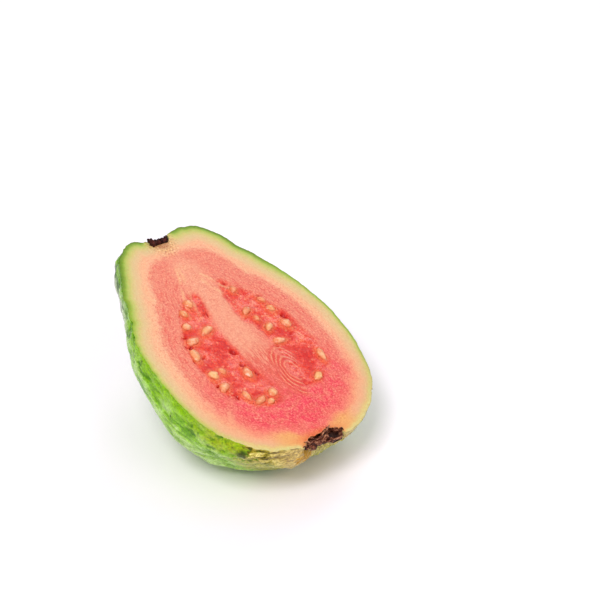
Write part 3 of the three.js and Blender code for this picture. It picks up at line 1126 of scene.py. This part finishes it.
def limb(start, bend, end, wide, half_width, half_height, blunt=0.6):
    """A closed flattened strip along a bent spine: its points, each one's share of the way to the
    strip's edge, and its faces. `wide` is the way that it is widest."""
    tilt, turn, faces = ball(LIMB_AROUND, LIMB_DOWN)
    start, bend, end = np.array([start, bend, end], float)
    share = (tilt / math.pi)[:, None]
    spine = (1 - share) ** 2 * start + 2 * share * (1 - share) * bend + share**2 * end
    along = unit(2 * (1 - share) * (bend - start) + 2 * share * (end - bend))
    across = unit(wide - along * (along @ wide)[:, None])
    over = np.cross(across, along)
    girth = np.clip(np.sin(tilt), 0, 1)[:, None] ** blunt
    ring = np.cos(turn)[:, None] * across * half_width + np.sin(turn)[:, None] * over * half_height
    return spine + ring * girth, np.abs(np.cos(turn)), faces


def limbs(table, wide):
    """A closed strip for each row of a table, all of them widest the same way."""
    return [limb(*row[:3], wide, *row[3:]) for row in table]


def joined(parts):
    """Several closed strips as one list of points, edge shares and faces."""
    points, edges, faces = [], [], []
    count = 0
    for part_points, part_edges, part_faces in parts:
        points.append(part_points)
        edges.append(part_edges)
        faces += [tuple(i + count for i in face) for face in part_faces]
        count += len(part_points)
    return np.concatenate(points), np.concatenate(edges), faces


def stem_stubs():
    """Short broken fibres of the stalk, longest at the rim of the scar, and its thick parts."""
    random = np.random.default_rng(11)
    across, down = STUBS_REACH
    parts = []
    for k in range(STEM_STUBS):
        angle = math.pi * (k + 0.5) / STEM_STUBS
        reach = random.uniform(0.45, 1.0) if k % 3 else random.uniform(0.1, 0.6)
        y, z = across * reach * math.cos(angle) - 0.4, 0.3 - down * reach * math.sin(angle)
        length = random.uniform(1.8, 2.9) * (0.6 + 0.45 * reach)
        foot = np.array([1.4, y * 0.85, z * 0.9])
        tip = np.array([1.3 - length, y * 1.08, z + random.uniform(0, 0.5)])
        bend = (foot + tip) / 2 + random.uniform(-0.4, 0.4, 3)
        wide = np.array([0, -math.sin(angle), -math.cos(angle)])
        parts.append(limb(foot, bend, tip, wide, random.uniform(0.5, 0.9), random.uniform(0.3, 0.55)))
    points, edges, faces = joined(parts + limbs(STEM_LUMPS, (0, 0, 1)))
    return crumpled(points, 0.8, 0.34, 4.2), edges, faces


def cup_flakes(random):
    """Upright flakes round the crown's dark hollow."""
    x, y = CUP_MIDDLE
    parts = []
    for k in range(CUP_FLAKES):
        angle = 2 * math.pi * k / CUP_FLAKES + random.uniform(-0.12, 0.12)
        out = np.array([CUP_RADII[0] * math.cos(angle), CUP_RADII[1] * math.sin(angle), 0])
        low, high = random.uniform(-1.8, -1.3), random.uniform(-0.2, 0.7) - 0.35 * math.cos(angle)
        foot = np.array([x, y, low]) + 0.75 * out
        tip = np.array([x, y, high]) + random.uniform(0.85, 1.1) * out
        bend = (foot + tip) / 2 + 0.25 * out + random.uniform(-0.3, 0.3, 3)
        wide = unit(np.array([-out[1], out[0], random.uniform(-0.6, 0.6)]))
        parts.append(limb(foot, bend, tip, wide, random.uniform(0.5, 0.9), random.uniform(0.16, 0.3)))
    return parts


def sepal_strands(random):
    """Long dry strands that lie side by side over the crown's other half."""
    parts = []
    for k in range(SEPAL_STRANDS):
        share = (k + 0.5) / SEPAL_STRANDS
        start = np.array([85.3 + 1.8 * share, 1.6 - 0.8 * share, random.uniform(-0.5, 0.4)])
        end = np.array([86.4 + 2.0 * share, random.uniform(-8.0, -4.6), random.uniform(-0.5, 0.3)])
        bend = (start + end) / 2 + random.uniform(-0.7, 0.7, 3)
        wide = unit(np.array([1.0, 0, random.uniform(-1.0, 1.0)]))
        parts.append(limb(start, bend, end, wide, random.uniform(0.22, 0.42), random.uniform(0.15, 0.24)))
    return parts


def sepal_crown():
    """The dried sepals, folded into the crater: a dark hollow, loose strands and curled tips."""
    random = np.random.default_rng(5)
    parts = cup_flakes(random) + sepal_strands(random)
    parts += limbs(CROWN_BASE, (1, 0, 0)) + limbs(SEPALS, (0.3, 0.2, 1))
    points, edges, faces = joined(parts)
    return crumpled(points, 1.3, 0.4, 7.9), edges, faces


def remnant_material(name, dark, middle, light, shine):
    s = Shader(name)
    place = s.field("fruit", "Vector")
    patches = s.noise(place, 0.8, 4.0, 0.65)
    fibres = s.noise(s.scaled(place, (2.0, 0.6, 2.0)), 1.8, 3.0, 0.6)
    share = s.weighted((patches, 0.6), (fibres, 0.4))
    colour = s.layers(
        s.ramp(share, [(0.38, dark), (0.52, middle), (0.66, light)]),
        # Lighter strip edges: partly paler thin edges, partly painted highlight.
        (s.ease("edge", 0.75, 1.0), s.span(patches, 0.42, 0.56, 0, 0.8), light),
        # Painted shade: the hollow and the low parts are darker.
        ("deep", dark),
    )
    return s.finish(
        Base_Color=colour,
        Roughness=s.span(patches, 0.35, 0.65, 0.35, 0.6),
        Normal=s.bump(fibres, 0.8, 0.3 * MM),
        Specular_IOR_Level=shine,
    )


def build_remnant(name, node, shape, material):
    points, edges, faces = shape
    made = make_object(name, points, faces)
    # Painted shade: strips are darkened in the crown's hollow and wherever they lie lower down, under the
    # cut face.
    from_cup = (points[:, :2] - CUP_MIDDLE) / CUP_DARK_RADII
    in_cup = fade(np.hypot(*from_cup.T), 0.6, 0.95)
    deep = 0.9 * np.maximum(in_cup, fade(points[:, 2], -1.6, -0.4))
    set_fields(made, edge=edges, deep=deep, fruit=points)
    made.data.materials.append(material)
    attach(made, "root")
    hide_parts(node)


build_remnant(
    "stem_remnant", "stem_scar", stem_stubs(),
    remnant_material("dried_stalk", "#0e0204", "#240a0c", "#5e2a22", 0.12),
)
build_remnant(
    "calyx_remnant", "calyx", sepal_crown(),
    remnant_material("dried_sepals", "#180401", "#662812", "#cc8e6a", 0.25),
)

# ---- Floor, lights and camera ----

VIEW_AZIMUTH = 53.5
VIEW_ELEVATION = 36.9
LENS = 240.0
SENSOR = 36.0
FRAME_WIDTH = 180.0 * MM
FRAMING_RIGHT = 18.5 * MM
FRAMING_UP = 17.7 * MM
FLOOR_REACH = 3.0
WORLD_LIGHT = 0.6
LIGHT_TARGET = (0, 0, 0.02)
# Soft square lights: name, place, side and power.
LIGHTS = [
    ("key", (0.5, -0.8, 1.35), 0.6, 15),
    ("fill", (1.1, 0.1, 1.1), 0.7, 2.2),
    ("back", (-0.6, 0.9, 0.8), 0.6, 3),
]


def build_floor():
    mesh = bpy.data.meshes.new("floor")
    corners = [(x * FLOOR_REACH, y * FLOOR_REACH, 0) for x, y in ((-1, -1), (1, -1), (1, 1), (-1, 1))]
    mesh.from_pydata(corners, [], [(0, 1, 2, 3)])
    mesh.materials.append(Shader("floor").finish(Base_Color="#fdf6ff", Roughness=0.7))
    floor = new_object("floor", mesh)


def add_light(name, place, side, power):
    light = bpy.data.lights.new(name, "AREA")
    light.shape = "RECTANGLE"
    light.size = light.size_y = side
    light.energy = power
    holder = new_object(name, light)
    holder.location = place
    aim = Vector(LIGHT_TARGET) - Vector(place)
    holder.rotation_euler = aim.to_track_quat("-Z", "Y").to_euler()


def build_world():
    world = bpy.data.worlds.new("studio")
    world.use_nodes = True
    background = world.node_tree.nodes["Background"]
    background.inputs["Color"].default_value = (1, 1, 1, 1)
    background.inputs["Strength"].default_value = WORLD_LIGHT
    bpy.context.scene.world = world


def build_camera():
    azimuth, elevation = math.radians(VIEW_AZIMUTH), math.radians(VIEW_ELEVATION)
    towards = Vector((
        math.sin(azimuth) * math.cos(elevation),
        -math.cos(azimuth) * math.cos(elevation),
        math.sin(elevation),
    ))
    right = Vector((math.cos(azimuth), math.sin(azimuth), 0))
    up = towards.cross(right)
    low, high = cad_box
    aim = (low + high) / 2 + right * FRAMING_RIGHT + up * FRAMING_UP
    data = bpy.data.cameras.new("camera")
    data.lens = LENS
    data.sensor_width = SENSOR
    data.clip_end = 100
    camera = new_object("camera", data)
    camera.matrix_world = Matrix((right, up, towards)).transposed().to_4x4()
    camera.location = aim + towards * FRAME_WIDTH * LENS / SENSOR
    bpy.context.scene.camera = camera


build_floor()
build_world()
for light_row in LIGHTS:
    add_light(*light_row)
build_camera()
bpy.context.scene.view_settings.view_transform = "Standard"
